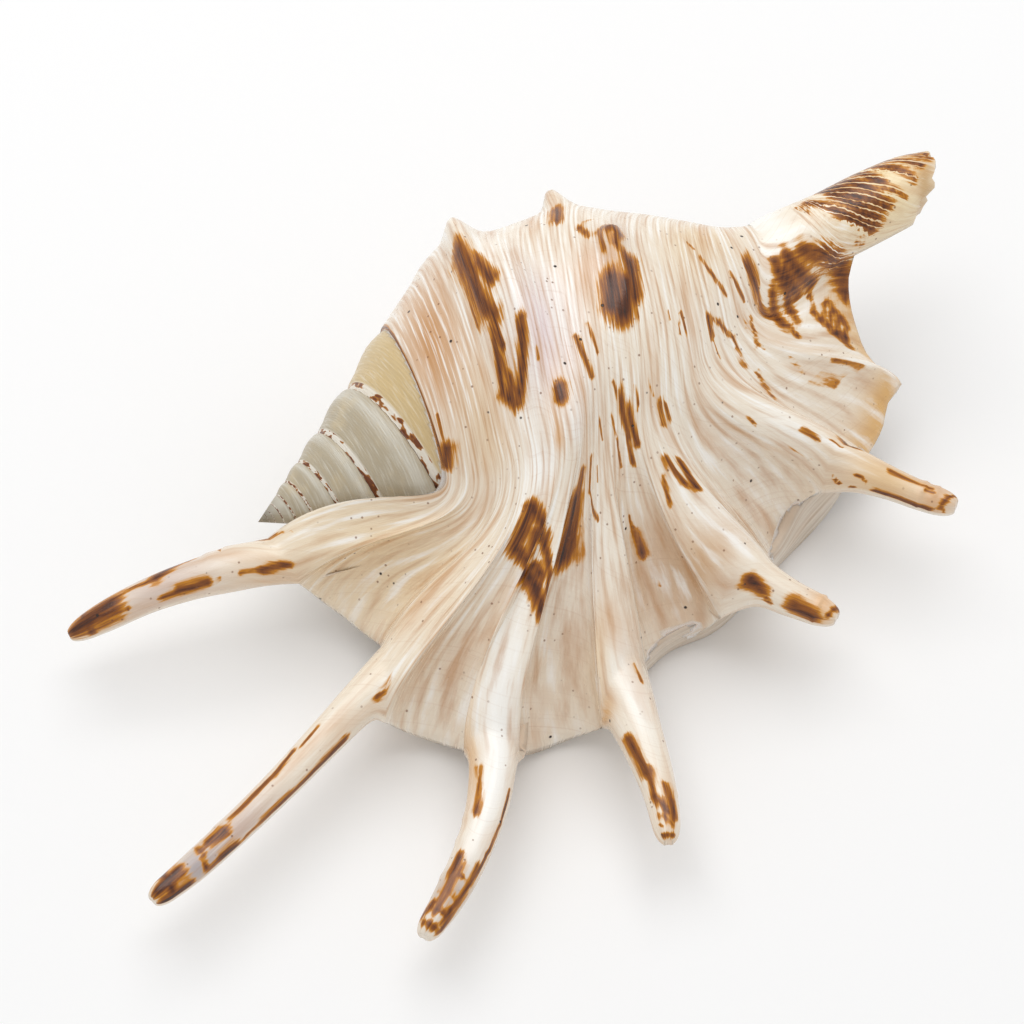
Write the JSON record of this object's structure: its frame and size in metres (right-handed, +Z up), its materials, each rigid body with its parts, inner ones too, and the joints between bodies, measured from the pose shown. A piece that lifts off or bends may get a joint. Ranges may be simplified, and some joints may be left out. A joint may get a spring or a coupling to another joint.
{
  "type": "spider conch shell",
  "caption": "Spider conch shell with a knobbed body whorl, a pointed spire, a flared lip that carries long curved fingers, and an open siphonal canal.",
  "frame": {"origin": "centre of the bounding box in plan, on the plane the shell rests on", "axes": "+X from the tip of the spire to the siphonal canal, -Y towards the fingered lip, +Z up from the aperture side to the back of the shell"},
  "size_m": [0.1784, 0.1112, 0.0578],
  "materials": {
    "shell": "satin to glossy, cream with brown blotches"
  },
  "bodies": {
    "root": {"shell": "shell"}
  },
  "joints": []
}
